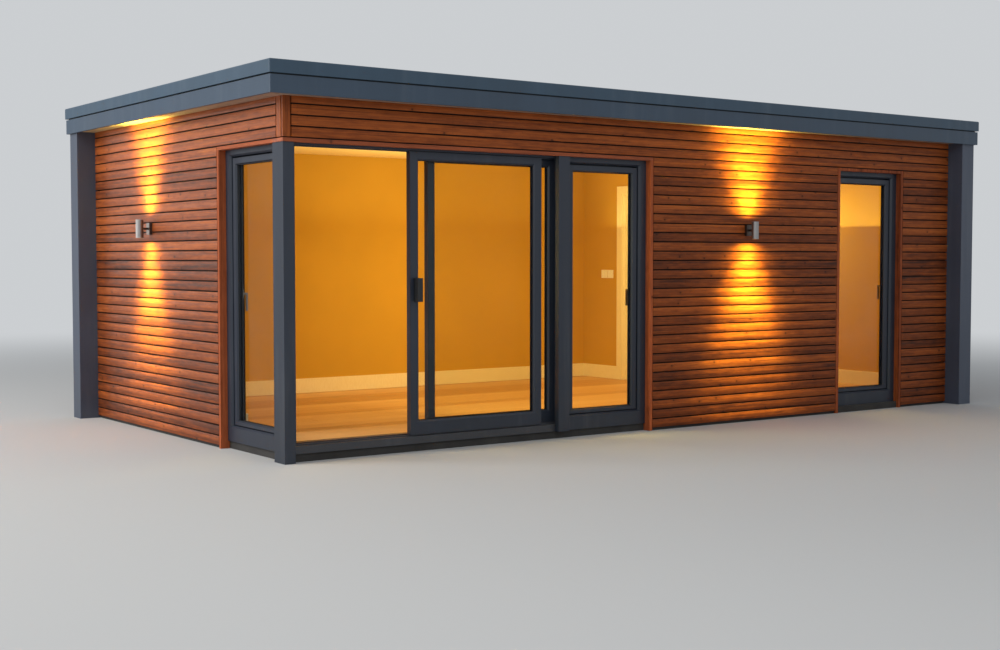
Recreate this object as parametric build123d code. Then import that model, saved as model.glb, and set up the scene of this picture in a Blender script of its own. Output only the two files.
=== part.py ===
from build123d import *
import os

# Garden office pod: a flat-roofed timber-clad room with a glazed corner and a sliding door.
# All sizes are in millimetres. Pieces are drawn from the front left corner of the cladding,
# with X along the front, Y towards the back and Z up from the ground, and are moved at the
# end so that the origin is at ground level under the middle of the roof.

# Overall size of the walls, over the outer faces of the end fins.
body_length = 7194.0
body_depth = 3694.0
wall_top = 2470.0

# Wall build-up, from the cladding face to the plaster.
wall_thickness = 200.0
cladding_thickness = 20.0
cladding_bottom = 20.0
joint_gap = 8.0

# Floor and ceiling.
slab_height = 57.0
floor_level = 110.0
ceiling_level = 2370.0

# Roof, fascia and roof edge trim.
roof_overhang = 190.0
end_overhang = 36.0
soffit_board = 12.0
deck_thickness = 163.0
fascia_bottom = 2459.0
fascia_height = 119.0
fascia_thickness = 20.0
fascia_round = 6.0
fascia_setback = 8.0
trim_gap = 10.0
trim_height = 90.0
trim_cover = 70.0
trim_round = 10.0

# End fins that project past the cladding, and the plain outer corner at the back right.
fin_projection = 158.0
fin_thickness = 170.0
end_reveal = 10.0
corner_trim_width = 90.0

# Glazed corner: the post, the timber linings over and beside it, and the boards above.
post_setback_x = 5.0
post_setback_y = 10.0
post_width = 81.0
post_depth = 155.0
post_tongue_setback = 40.0
mullion_start = 2337.0
mullion_width = 106.0
corner_board_width = 58.0
side_corner_board_width = 65.0
corner_board_gap = 11.0
corner_board_round = 3.0
lining_thickness = 30.0
head_lining_thickness = 25.0
lining_depth = 147.0
lining_underside = 2165.0

# Frames: how far they stand behind the cladding face, and their depth.
frame_recess = 55.0
window_frame_depth = 90.0
door_frame_depth = 145.0

# Openings, measured between the linings: from the glazed corner along the front and the left
# wall, and back from the right-hand fin for the narrow window.
corner_opening_end = 3255.0
door_frame_end = 2410.0
side_opening_end = 1010.0
narrow_window_to_fin = 689.0
narrow_opening_width = 830.0
narrow_frame_overlap = 65.0

# Window frame and sash profiles, as seen from outside.
frame_face = 70.0
frame_face_at_door = 60.0
frame_face_at_post = 15.0
frame_head_face = 48.0
frame_sill_face = 115.0
frame_bevel_width = 12.0
frame_bevel_depth = 16.0
frame_stop = 20.0
frame_stop_depth = 20.0
sash_gap = 12.0
sill_gap = 8.0
sash_setback = 18.0
sash_stile = 48.0
sash_top_rail = 48.0
sash_bottom_rail = 32.0
sash_bevel_width = 8.0
sash_bevel_depth = 12.0
glass_thickness = 24.0
glass_setback = 17.0
glass_bite = 12.0
edge_round = 2.0

# Sliding door set.
door_plate = 13.0
door_rear_plate = 6.0
jamb_width = 24.0
jamb_stop = 40.0
leaf_setback = 15.0
leaf_thickness = 48.0
track_gap = 12.0
leaf_left = 1038.0
leaf_right = 2215.0
leaf_stile = 74.0
leaf_top_rail = 61.0
leaf_bottom_rail = 100.0
leaf_head_clearance = 6.0
leaf_bevel_width = 12.0
leaf_bevel_depth = 10.0
rail_height = 10.0
rail_width = 8.0
running_clearance = 0.3
guide_height = 10.0
guide_clearance = 6.0
fixed_left = 1227.0
fixed_left_stile = 66.0
fixed_right_stile = 60.0
fixed_top_rail = 51.0
fixed_bottom_rail = 95.0
fixed_head_drop = 18.0
fixed_head_setback = 12.0
fixed_riser = 15.0

# Pull handle on the sliding leaf.
handle_bottom = 1076.0
handle_height = 170.0
handle_reach = 58.0
handle_width = 44.0
handle_round = 5.0

# Inside handles of the windows.
window_handle_height = 1131.0
window_handle_length = 125.0
window_handle_reach = 45.0
window_handle_bar = 14.0
window_handle_rose = 64.0
window_handle_rose_thickness = 8.0
window_handle_round = 4.0

# Wall lamps.
lamp_diameter = 60.0
lamp_height = 145.0
lamp_bottom = 1548.0
lamp_axis_reach = 92.0
lamp_plate_width = 60.0
lamp_plate_height = 92.0
lamp_plate_depth = 24.0
lamp_arm = 18.0
lamp_lens_recess = 6.0
lamp_rim = 4.0
front_lamp_from_opening = 1089.0
side_lamp_from_opening = 1285.0

# Partition, its doorway, skirting and switches.
partition_thickness = 90.0
partition_to_window = 5.0
inner_door_to_back = 657.0
inner_door_width = 790.0
inner_door_height = 1940.0
casing_width = 80.0
casing_thickness = 18.0
casing_reveal = 8.0
casing_lining = 30.0
door_stop_start = 38.0
door_stop_thickness = 12.0
skirting_height = 135.0
skirting_thickness = 18.0
switch_size = 86.0
switch_thickness = 9.0
switch_level = 1220.0
switch_spacing = 100.0
switch_to_casing = 75.0

# Cutting pieces run on this far past the faces that they cut.
cut_past = 1.0

# Places worked out from the sizes above.
roof_left = -roof_overhang
roof_right = body_length + end_overhang
roof_front = -roof_overhang
roof_back = body_depth + end_overhang
trim_bottom = fascia_bottom + fascia_height + trim_gap
roof_top = trim_bottom + trim_height
deck_bottom = wall_top + soffit_board
room_left = wall_thickness
room_front = wall_thickness
room_right = body_length - wall_thickness
room_back = body_depth - wall_thickness
fin_left = body_length - fin_thickness
fin_front = body_depth - fin_thickness
right_face = body_length - end_reveal
back_face = body_depth - end_reveal
narrow_opening_end = fin_left - narrow_window_to_fin
narrow_opening_start = narrow_opening_end - narrow_opening_width
narrow_frame_start = narrow_opening_start - narrow_frame_overlap
partition_back = narrow_opening_start - partition_to_window
partition_face = partition_back - partition_thickness
inner_door_back = room_back - inner_door_to_back
front_lamp_place = corner_opening_end + front_lamp_from_opening
side_lamp_place = side_opening_end + side_lamp_from_opening
right_core = right_face - cladding_thickness
back_core = back_face - cladding_thickness
head_lining_top = lining_underside + head_lining_thickness
cladding_over = head_lining_top + joint_gap
corner_lining_end = corner_opening_end + lining_thickness
side_lining_end = side_opening_end + lining_thickness
post_right = post_setback_x + post_width
post_back = post_setback_y + post_depth
origin_x = (roof_left + roof_right) / 2
origin_y = (roof_front + roof_back) / 2

nodes = {}


def slab(x0, x1, y0, y1, z0, z1):
    """A box from its lowest to its highest corner."""
    size = (x1 - x0, y1 - y0, z1 - z0)
    return Pos((x0 + x1) / 2, (y0 + y1) / 2, (z0 + z1) / 2) * Box(*size)


def rounded(piece, axis, radius):
    """The same piece with its long edges along one axis softened."""
    return fillet(piece.edges().filter_by(axis), radius)


def along_side(piece):
    """Turns a piece drawn for the front wall so that it serves the left wall."""
    return piece.mirror(Plane((0, 0, 0), x_dir=(0, 0, 1), z_dir=(1, -1, 0)))


def ring(x0, x1, z0, z1, y0, y1, left, right, top, bottom):
    """An upright frame with its own width on each of its four sides."""
    outer = slab(x0, x1, y0, y1, z0, z1)
    hole = slab(x0 + left, x1 - right, y0 - cut_past, y1 + cut_past, z0 + bottom, z1 - top)
    return outer - hole


def sloped_edge(x0, x1, z0, z1, y0, width, depth):
    """What is cut from the front of a frame so that its inner edge slopes in towards the opening."""
    middle_x = (x0 + x1) / 2
    middle_z = (z0 + z1) / 2
    front = Plane((middle_x, y0, middle_z), x_dir=(1, 0, 0), z_dir=(0, -1, 0))
    back = Plane((middle_x, y0 + depth, middle_z), x_dir=(1, 0, 0), z_dir=(0, -1, 0))
    wide = front * Rectangle(x1 - x0 + 2 * width, z1 - z0 + 2 * width)
    narrow = back * Rectangle(x1 - x0, z1 - z0)
    return loft([wide.face(), narrow.face()])


def glazed_sash(x0, x1, z0, z1, y0, thickness, left, right, top, bottom, bevel_width, bevel_depth):
    """A sash with a groove round its opening, and the sealed glass unit that the groove holds."""
    sash = ring(x0, x1, z0, z1, y0, y0 + thickness, left, right, top, bottom)
    sash -= sloped_edge(x0 + left, x1 - right, z0 + bottom, z1 - top, y0, bevel_width, bevel_depth)
    glass = slab(
        x0 + left - glass_bite,
        x1 - right + glass_bite,
        y0 + glass_setback,
        y0 + glass_setback + glass_thickness,
        z0 + bottom - glass_bite,
        z1 - top + glass_bite,
    )
    return sash - glass, glass


def add_floor():
    """The ground slab, cut back under the glazed corner, and the boards inside the walls."""
    edge = cladding_thickness
    base = slab(edge, right_core, edge, back_core, 0, slab_height)
    base -= slab(0, corner_lining_end, 0, frame_recess + leaf_setback, -cut_past, slab_height + cut_past)
    base -= slab(0, frame_recess + leaf_setback, 0, side_lining_end, -cut_past, slab_height + cut_past)
    base -= slab(0, post_right, 0, room_front, -cut_past, slab_height + cut_past)
    for lining in ("jamb_linings", "narrow_window_lining"):
        base -= nodes[lining]
    nodes["floor_slab"] = base
    nodes["floor_boards"] = slab(room_left, room_right, room_front, room_back, slab_height, floor_level)


def add_walls():
    """The wall cores, split beside and over the openings and rebated behind the timber linings."""
    core = cladding_thickness
    inner = lining_depth
    narrow_left = narrow_opening_start - lining_thickness
    narrow_right = narrow_opening_end + lining_thickness
    over = lining_underside

    corner_rebate = slab(0, corner_lining_end, 0, inner, -cut_past, head_lining_top)
    side_rebate = slab(0, inner, 0, side_lining_end, -cut_past, head_lining_top)
    narrow_rebate = slab(narrow_left, narrow_right, 0, inner, -cut_past, head_lining_top)
    narrow_rebate += slab(narrow_frame_start, narrow_left, frame_recess, inner, -cut_past, lining_underside)

    front_head = slab(core, room_right, core, wall_thickness, over, wall_top)
    nodes["front_wall_head"] = front_head - corner_rebate - side_rebate - narrow_rebate
    middle = slab(corner_opening_end, narrow_opening_start, core, wall_thickness, slab_height, over)
    nodes["front_wall_middle"] = middle - corner_rebate - narrow_rebate
    right = slab(narrow_opening_end, room_right, core, wall_thickness, slab_height, over)
    nodes["front_wall_right"] = right - narrow_rebate

    left_head = slab(core, wall_thickness, wall_thickness, room_back, over, wall_top)
    nodes["left_wall_head"] = left_head - side_rebate
    left = slab(core, wall_thickness, side_opening_end, room_back, slab_height, over)
    nodes["left_wall"] = left - side_rebate

    nodes["back_wall"] = slab(core, right_core, room_back, back_core, slab_height, wall_top)
    nodes["right_wall"] = slab(room_right, right_core, core, room_back, slab_height, wall_top)


def add_cladding():
    """One panel for the boards of each side, cut round the openings and their linings."""
    board_start = corner_board_width + joint_gap
    side_start = cladding_thickness + corner_board_gap + side_corner_board_width + joint_gap
    narrow_left = narrow_opening_start - lining_thickness
    narrow_right = narrow_opening_end + lining_thickness
    front = slab(board_start, fin_left, 0, cladding_thickness, cladding_bottom, wall_top)
    front -= slab(0, corner_lining_end, -cut_past, cladding_thickness + cut_past, 0, cladding_over)
    front -= slab(narrow_left, narrow_right, -cut_past, cladding_thickness + cut_past, 0, cladding_over)
    nodes["front_cladding"] = front

    left = slab(0, cladding_thickness, side_start, fin_front, cladding_bottom, wall_top)
    left -= slab(-cut_past, cladding_thickness + cut_past, 0, side_lining_end, 0, cladding_over)
    nodes["left_cladding"] = left

    trim_start_x = body_length - corner_trim_width
    trim_start_y = body_depth - corner_trim_width
    nodes["back_cladding"] = slab(
        cladding_thickness, trim_start_x, back_core, back_face, cladding_bottom, wall_top
    )
    nodes["right_cladding"] = slab(
        right_core, right_face, cladding_thickness, trim_start_y, cladding_bottom, wall_top
    )


def add_corners():
    """The post of the glazed corner, the boards above it, the fins and the back corner trim."""
    post = slab(post_setback_x, post_right, post_setback_y, post_back, 0, lining_underside)
    post += slab(post_tongue_setback, post_right, post_back, room_front, 0, lining_underside)
    nodes["corner_post"] = post
    mullion_end = mullion_start + mullion_width
    mullion = slab(mullion_start, mullion_end, post_setback_y, frame_recess, slab_height, lining_underside)
    nodes["mullion_cover"] = rounded(mullion, Axis.Z, edge_round)

    board_bottom = cladding_over
    front_board = slab(0, corner_board_width, 0, cladding_thickness, board_bottom, wall_top)
    side_start = cladding_thickness + corner_board_gap
    side_board = slab(
        0, cladding_thickness, side_start, side_start + side_corner_board_width, board_bottom, wall_top
    )
    boards = [rounded(board, Axis.Z, corner_board_round) for board in (front_board, side_board)]
    nodes["corner_boards"] = Compound(boards)

    core = cladding_thickness
    right_fin = slab(fin_left, body_length, -fin_projection, core, 0, wall_top)
    left_fin = slab(-fin_projection, core, fin_front, body_depth, 0, wall_top)
    fins = [rounded(fin, Axis.Z, edge_round) for fin in (right_fin, left_fin)]
    nodes["end_fins"] = Compound(fins)

    trim_x = body_length - corner_trim_width
    trim_y = body_depth - corner_trim_width
    trim = slab(trim_x, body_length, trim_y, body_depth, 0, wall_top)
    trim -= slab(0, right_core, 0, back_core, -cut_past, wall_top + cut_past)
    nodes["back_right_corner_trim"] = trim


def add_linings():
    """Timber linings of the openings: heads that meet at the corner, and the upright jambs."""
    nodes["front_head_lining"] = slab(
        0, corner_lining_end, 0, lining_depth, lining_underside, head_lining_top
    )
    nodes["side_head_lining"] = slab(
        0, lining_depth, lining_depth, side_lining_end, lining_underside, head_lining_top
    )
    front_jamb = slab(
        corner_opening_end, corner_lining_end, 0, lining_depth, 0, lining_underside
    )
    side_jamb = slab(0, lining_depth, side_opening_end, side_lining_end, 0, lining_underside)
    nodes["jamb_linings"] = Compound([front_jamb, side_jamb])

    lining = slab(
        narrow_opening_start - lining_thickness,
        narrow_opening_end + lining_thickness,
        0,
        lining_depth,
        0,
        head_lining_top,
    )
    front = -cut_past
    back = lining_depth + cut_past
    lining -= slab(narrow_opening_start, narrow_opening_end, front, back, -cut_past, lining_underside)
    lining -= slab(0, narrow_opening_start, frame_recess, back, -cut_past, lining_underside)
    nodes["narrow_window_lining"] = lining


def window(start, end, start_face):
    """Frame, sash and glass of one window that stands between two places along the front wall."""
    y0 = frame_recess
    y1 = y0 + window_frame_depth
    bottom = slab_height
    top = lining_underside
    frame = ring(start, end, bottom, top, y0, y1, start_face, frame_face, frame_head_face, frame_sill_face)
    frame -= sloped_edge(
        start + start_face,
        end - frame_face,
        bottom + frame_sill_face,
        top - frame_head_face,
        y0,
        frame_bevel_width,
        frame_bevel_depth,
    )
    stop_back = y1
    stop_front = y1 - frame_stop_depth
    stop = ring(
        start + start_face,
        end - frame_face,
        bottom + frame_sill_face,
        top - frame_head_face,
        stop_front,
        stop_back,
        frame_stop,
        frame_stop,
        frame_stop,
        frame_stop,
    )
    frame += stop
    sash_front = y0 + sash_setback
    sash, glass = glazed_sash(
        start + start_face + sash_gap,
        end - frame_face - sash_gap,
        bottom + frame_sill_face + sill_gap,
        top - frame_head_face - sash_gap,
        sash_front,
        stop_front - sash_front,
        sash_stile,
        sash_stile,
        sash_top_rail,
        sash_bottom_rail,
        sash_bevel_width,
        sash_bevel_depth,
    )
    return frame, sash, glass


def window_handle(place):
    """A lever handle on the inner side of a sash: rose, neck and a grip that hangs down."""
    sash_back = frame_recess + window_frame_depth - frame_stop_depth
    rose_thickness = window_handle_rose_thickness
    rose_half = window_handle_rose / 2
    bar = window_handle_bar
    level = window_handle_height
    left = place - bar / 2
    right = place + bar / 2
    neck_bottom = level - bar / 2
    neck_top = level + bar / 2
    neck_start = sash_back + rose_thickness
    neck_end = sash_back + window_handle_reach
    rose = slab(place - bar, place + bar, sash_back, neck_start, level - rose_half, level + rose_half)
    neck = slab(left, right, neck_start, neck_end, neck_bottom, neck_top)
    grip = slab(left, right, neck_end - bar, neck_end, level - window_handle_length, neck_bottom)
    return rose + rounded(neck + grip, Axis.X, window_handle_round)


def add_windows():
    """The tall window beside the door, the narrow one at the right and the one round the corner."""
    tall = window(door_frame_end, corner_opening_end, frame_face_at_door)
    narrow = window(narrow_frame_start, narrow_opening_end, frame_face)
    side = [along_side(piece) for piece in window(room_front, side_opening_end, frame_face_at_post)]
    nodes["window_frames"] = Compound([tall[0], narrow[0], side[0]])
    nodes["window_sashes"] = Compound([tall[1], narrow[1], side[1]])
    nodes["window_glass"] = Compound([tall[2], narrow[2], side[2]])
    stile_middle = frame_face + sash_gap + sash_stile / 2
    nodes["window_handles"] = Compound(
        [
            window_handle(corner_opening_end - stile_middle),
            window_handle(narrow_opening_end - stile_middle),
            along_side(window_handle(side_opening_end - stile_middle)),
        ]
    )


def add_sliding_door():
    """The door frame with its two tracks, the fixed pane behind and the leaf that slides in front."""
    y0 = frame_recess
    y1 = y0 + door_frame_depth
    left = post_right
    right = door_frame_end
    head_bottom = lining_underside - door_plate
    leaf_y0 = y0 + leaf_setback
    leaf_y1 = leaf_y0 + leaf_thickness
    fixed_y0 = leaf_y1 + track_gap
    beam_y0 = leaf_y1 + track_gap / 2
    track = (leaf_y0 + leaf_y1) / 2
    rail_y0 = track - rail_width / 2
    rail_y1 = track + rail_width / 2

    rear_bottom = lining_underside - door_rear_plate
    beam_bottom = head_bottom - fixed_head_drop
    pane_end = right - jamb_width

    head = slab(left, right, y0, beam_y0, head_bottom, lining_underside)
    head += slab(left, right, beam_y0, y1, rear_bottom, lining_underside)
    head += slab(left + jamb_width, pane_end, rail_y0, rail_y1, head_bottom - guide_height, head_bottom)
    head += slab(fixed_left, pane_end, fixed_y0 + fixed_head_setback, y1, beam_bottom, rear_bottom)
    nodes["door_head"] = head

    threshold = slab(left, right, y0, y1, slab_height, floor_level)
    threshold += slab(left, right, rail_y0, rail_y1, floor_level, floor_level + rail_height)
    threshold += slab(left, right, beam_y0 + track_gap / 2, y1, floor_level, floor_level + fixed_riser)
    nodes["door_threshold"] = threshold

    jamb_bottom = floor_level + fixed_riser
    left_jamb = slab(left, left + jamb_width, y0, beam_y0, jamb_bottom, head_bottom)
    left_jamb += slab(left, left + jamb_width + jamb_stop, beam_y0, y1, jamb_bottom, rear_bottom)
    right_jamb = slab(pane_end, right, y0, beam_y0, jamb_bottom, head_bottom)
    right_jamb += slab(pane_end, right, beam_y0, y1, jamb_bottom, rear_bottom)
    nodes["door_jambs"] = Compound([left_jamb, right_jamb])

    fixed_sash, fixed_glass = glazed_sash(
        fixed_left,
        pane_end,
        floor_level + fixed_riser,
        beam_bottom,
        fixed_y0,
        leaf_thickness,
        fixed_left_stile,
        fixed_right_stile,
        fixed_top_rail,
        fixed_bottom_rail,
        leaf_bevel_width,
        leaf_bevel_depth,
    )
    nodes["fixed_sash"] = fixed_sash
    nodes["fixed_glass"] = fixed_glass

    leaf_bottom = floor_level + rail_height + running_clearance
    leaf_top = head_bottom - leaf_head_clearance
    sash, glass = glazed_sash(
        leaf_left,
        leaf_right,
        leaf_bottom,
        leaf_top,
        leaf_y0,
        leaf_thickness,
        leaf_stile,
        leaf_stile,
        leaf_top_rail,
        leaf_bottom_rail,
        leaf_bevel_width,
        leaf_bevel_depth,
    )
    groove_bottom = head_bottom - guide_height - guide_clearance
    sash -= slab(
        leaf_left - cut_past,
        leaf_right + cut_past,
        rail_y0 - guide_clearance,
        rail_y1 + guide_clearance,
        groove_bottom,
        leaf_top + cut_past,
    )
    nodes["sliding_sash"] = sash
    nodes["sliding_glass"] = glass

    stile_end = leaf_left + leaf_stile
    pull = slab(
        stile_end - handle_width,
        stile_end,
        leaf_y0 - handle_reach,
        leaf_y0,
        handle_bottom,
        handle_bottom + handle_height,
    )
    outer_edges = pull.edges().filter_by(Axis.Z).group_by(Axis.Y)[0]
    nodes["sliding_handle"] = fillet(outer_edges, handle_round)


def add_roof():
    """Ceiling, deck, soffit, fascia and, past a narrow gap over it, the edge trim that stands proud."""
    nodes["ceiling"] = slab(room_left, room_right, room_front, room_back, ceiling_level, wall_top)
    back_of_fascia = fascia_setback + fascia_thickness
    x0 = roof_left + back_of_fascia
    x1 = roof_right - back_of_fascia
    y0 = roof_front + back_of_fascia
    y1 = roof_back - back_of_fascia
    deck_top = deck_bottom + deck_thickness
    nodes["roof_deck"] = slab(x0, x1, y0, y1, deck_bottom, deck_top)
    nodes["soffit"] = slab(x0, x1, y0, y1, wall_top, deck_bottom)

    set_in = fascia_setback
    fascia_top = fascia_bottom + fascia_height
    fascia = slab(
        roof_left + set_in,
        roof_right - set_in,
        roof_front + set_in,
        roof_back - set_in,
        fascia_bottom,
        fascia_top,
    )
    fascia = rounded(fascia, Axis.Z, fascia_round)
    fascia -= slab(x0, x1, y0, y1, fascia_bottom - cut_past, fascia_top + cut_past)
    nodes["fascia"] = fascia

    trim = slab(roof_left, roof_right, roof_front, roof_back, trim_bottom, roof_top)
    upper = trim.edges().group_by(Axis.Z)[-1]
    corners = trim.edges().filter_by(Axis.Z)
    trim = fillet(upper + corners, trim_round)
    trim -= slab(x0, x1, y0, y1, trim_bottom - cut_past, deck_top)
    trim -= slab(
        roof_left + trim_cover,
        roof_right - trim_cover,
        roof_front + trim_cover,
        roof_back - trim_cover,
        trim_bottom,
        roof_top + cut_past,
    )
    nodes["roof_edge_trim"] = trim


def lamp(place):
    """A tube that shines up and down, held off the front wall by a short arm on a back plate."""
    middle = lamp_bottom + lamp_height / 2
    plate = slab(
        place - lamp_plate_width / 2,
        place + lamp_plate_width / 2,
        -lamp_plate_depth,
        0,
        middle - lamp_plate_height / 2,
        middle + lamp_plate_height / 2,
    )
    arm = slab(
        place - lamp_arm / 2,
        place + lamp_arm / 2,
        -lamp_axis_reach,
        -lamp_plate_depth,
        middle - lamp_arm / 2,
        middle + lamp_arm / 2,
    )
    tube = Pos(place, -lamp_axis_reach, middle) * Cylinder(lamp_diameter / 2, lamp_height)
    for end in (-1, 1):
        lens = Cylinder(lamp_diameter / 2 - lamp_rim, lamp_lens_recess)
        tube -= Pos(place, -lamp_axis_reach, middle + end * (lamp_height - lamp_lens_recess) / 2) * lens
    return plate + arm + tube


def add_lamps():
    """One lamp on the front wall and one on the left wall."""
    nodes["wall_lamps"] = Compound([lamp(front_lamp_place), along_side(lamp(side_lamp_place))])


def add_interior():
    """The partition with its cased doorway, the skirting and the pair of switches."""
    face = partition_face
    back = partition_back
    door_back = inner_door_back
    door_front = door_back - inner_door_width
    door_top = floor_level + inner_door_height
    opening_front = door_front - casing_lining
    opening_back = door_back + casing_lining
    opening_top = door_top + casing_lining
    front_part = slab(face, back, room_front, opening_front, floor_level, opening_top)
    back_part = slab(face, back, opening_back, room_back, floor_level, opening_top)
    nodes["partition_sides"] = Compound([front_part, back_part])
    nodes["partition_head"] = slab(face, back, room_front, room_back, opening_top, ceiling_level)

    casing = slab(face, back, opening_front, opening_back, floor_level, opening_top)
    casing_front = door_front - casing_reveal - casing_width
    casing_back = door_back + casing_reveal + casing_width
    casing_top = door_top + casing_reveal + casing_width
    for x0, x1 in ((face - casing_thickness, face), (back, back + casing_thickness)):
        board = slab(x0, x1, casing_front, casing_back, floor_level, casing_top)
        board -= slab(
            x0 - cut_past,
            x1 + cut_past,
            door_front - casing_reveal,
            door_back + casing_reveal,
            floor_level - cut_past,
            door_top + casing_reveal,
        )
        casing += board
    stop = door_stop_thickness
    below = floor_level - cut_past
    face_side = face - cut_past
    stop_start = face + door_stop_start
    casing -= slab(face_side, back + cut_past, door_front + stop, door_back - stop, below, door_top - stop)
    casing -= slab(face_side, stop_start, door_front, door_back, below, door_top)
    nodes["door_casing"] = casing

    top = floor_level + skirting_height
    t = skirting_thickness
    wall_start = corner_opening_end
    runs = [
        slab(room_left, face, room_back - t, room_back, floor_level, top),
        slab(room_left, room_left + t, side_opening_end, room_back, floor_level, top),
        slab(wall_start, face, room_front, room_front + t, floor_level, top),
        slab(face - t, face, room_front, casing_front, floor_level, top),
        slab(face - t, face, casing_back, room_back, floor_level, top),
    ]
    main = runs[0] + runs[1] + runs[4]
    front = runs[2] + runs[3]
    second = slab(back, room_right, room_back - t, room_back, floor_level, top)
    second += slab(room_right - t, room_right, room_front, room_back, floor_level, top)
    second += slab(back, back + t, casing_back, room_back, floor_level, top)
    second += slab(narrow_opening_end, room_right, room_front, room_front + t, floor_level, top)
    nodes["skirting"] = Compound([main, front, second])

    plates = []
    for index in range(2):
        y = casing_back + switch_to_casing + index * switch_spacing
        plates.append(
            slab(
                face - switch_thickness,
                face,
                y,
                y + switch_size,
                switch_level - switch_size / 2,
                switch_level + switch_size / 2,
            )
        )
    nodes["light_switches"] = Compound(plates)


def build():
    """Makes every piece in turn."""
    add_linings()
    add_floor()
    add_walls()
    add_cladding()
    add_corners()
    add_windows()
    add_sliding_door()
    add_roof()
    add_lamps()
    add_interior()


build()
os.makedirs("parts", exist_ok=True)
for name, piece in nodes.items():
    export_step(Pos(-origin_x, -origin_y, 0) * piece, "parts/" + name + ".step")
print(len(nodes), "pieces written")
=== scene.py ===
"""Looks of the garden office pod: timber boards, coated frames, glass, lamps and rooms."""
import math

import bmesh
import bpy
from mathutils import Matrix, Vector


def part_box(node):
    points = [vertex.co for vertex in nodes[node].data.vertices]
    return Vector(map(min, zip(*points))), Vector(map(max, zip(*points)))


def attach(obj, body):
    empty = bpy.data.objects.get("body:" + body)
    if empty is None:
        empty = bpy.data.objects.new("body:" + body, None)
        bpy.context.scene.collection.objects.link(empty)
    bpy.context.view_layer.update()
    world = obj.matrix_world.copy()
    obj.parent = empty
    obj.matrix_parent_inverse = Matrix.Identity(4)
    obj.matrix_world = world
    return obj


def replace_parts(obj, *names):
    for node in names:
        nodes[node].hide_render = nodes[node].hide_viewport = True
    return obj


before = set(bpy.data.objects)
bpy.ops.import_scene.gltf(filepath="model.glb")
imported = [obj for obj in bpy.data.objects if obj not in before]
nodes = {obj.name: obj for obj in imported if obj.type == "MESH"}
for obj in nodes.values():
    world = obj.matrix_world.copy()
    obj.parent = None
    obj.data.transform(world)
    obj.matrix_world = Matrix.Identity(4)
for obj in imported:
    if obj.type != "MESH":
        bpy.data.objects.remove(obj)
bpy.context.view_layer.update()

MM = 0.001
SAME = 0.01 * MM

# Boards of the cladding.
BOARD_PITCH = 75 * MM
BOARD_HEIGHT = 67 * MM
BOARD_THICKNESS = 20 * MM
BOARD_ROUND = 2.5 * MM
BOARD_STRAY = 0.7 * MM
BOARD_END_GAP = 6 * MM
# Painted shade along the edges of each board: it starts and is full at these shares of the pitch from
# the board's middle.
BOARD_EDGE_PAINTED_SHADE = 0.410, 0.440
THINNEST_BOARD = 15 * MM
TOP_JOINT = 2419 * MM
OVER_OPENINGS = 2198 * MM

# Nails through the boards.
NAIL_RADIUS = 2.6 * MM
NAIL_PROUD = 0.4 * MM
NAIL_LENGTH = 4 * MM
NAIL_SPACING = 600 * MM
NAIL_FROM_END = 45 * MM
NAIL_SPREAD = 36 * MM
NAIL_STRAY = 2.5 * MM
NAIL_SIDES = 8

# Floor planks. The first of a row is this share of a plank's length, and one step more in each
# of the next two rows.
PLANK_WIDTH = 188 * MM
PLANK_LENGTH = 2200 * MM
PLANK_GAP = 0.8 * MM
PLANK_EDGE = 1.2 * MM
FIRST_PLANK = 0.35
FIRST_PLANK_STEP = 0.31
NARROWEST_PLANK = 10 * MM
SHORTEST_PLANK = 1 * MM

# Soffit boards and roof laps.
SOFFIT_GAP = 3 * MM
SOFFIT_EDGE = 1.5 * MM
SOFFIT_UNDER_WALL = 30 * MM
LAP_WIDTH = 55 * MM
LAP_HEIGHT = 3 * MM
LAP_SUNK = 2 * MM
LAP_EDGE = 1.2 * MM
LAP_FROM_EDGE = 20 * MM
LAP_SPACING = 1400 * MM

# Rubber round the panes, rockers of the switches, and the lit ends of the lamps.
GLASS_BITE = 12 * MM
SEAL_WIDTH = 2.5 * MM
SEAL_PROUD = 2 * MM
ROCKER_ASIDE = 15 * MM
ROCKER_HALF_WIDTH = 11 * MM
ROCKER_HALF_HEIGHT = 20 * MM
ROCKER_PROUD = 3 * MM
ROCKER_SUNK = 1 * MM
ROCKER_EDGE = 1.5 * MM
LAMP_TUBE = 30 * MM
LENS_RADIUS = 24 * MM
LENS_THICKNESS = 2 * MM
LENS_SIDES = 32
LENS_INSET = 4.5 * MM
LENS_STRENGTH = 9.0
# Painted shade on the lamps' plates: a darker tone for the dark surroundings that the flat steel
# reflects.
LAMP_PLATE_PAINTED_SHADE = (92, 84, 80)

# Beams of the wall lamps: tint, distance from the tube's end, and radius of the source.
BEAM_TINT = (1.0, 0.94, 0.15)
BEAM_FROM_END = 2 * MM
BEAM_SOURCE = 20 * MM
# Beams out of each end of a lamp: distance out from the tube's axis, power, spread in degrees,
# softness of the edge, and lean towards the wall.
BEAMS = (
    ("lens", 30 * MM, 44.0, 160, 0.9, 0.10),
    ("near", 130 * MM, 160.0, 84, 1.0, 0.42),
    ("far", 210 * MM, 260.0, 62, 1.0, 0.30),
)

# Pale, middle and dark tones of each timber, as screen colours.
OILED = ((180, 94, 38), (130, 62, 22), (66, 29, 11))
LINING = ((190, 100, 60), (152, 78, 46), (100, 49, 29))
SOFFIT = ((188, 160, 140), (164, 134, 114), (128, 98, 80))

# Knots: cells in a metre, the share of cells that have one, how far from its middle the core
# and the swirl are still whole and where they end, and how far the swirl bends the grain.
KNOTS_PER_METRE = 5.5
KNOT_SHARE = 0.4
KNOT_CORE = 3 * MM, 12 * MM
KNOT_SWIRL = 6 * MM, 34 * MM
KNOT_BEND = 7 * MM

# Dust in the streaks of coated metal.
DUST = (140, 138, 132)
DUST_SHARE = 0.08

# Paints of the rooms, a cream partly tinted with painted warm lamp light, and how far the paint goes on
# past the edge of the floor.
WALL_PAINT_WARM_LIT = (202, 157, 56)
CEILING_PAINT_WARM_LIT = (240, 214, 158)
PAINT_PAST_FLOOR = 2 * MM

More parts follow.
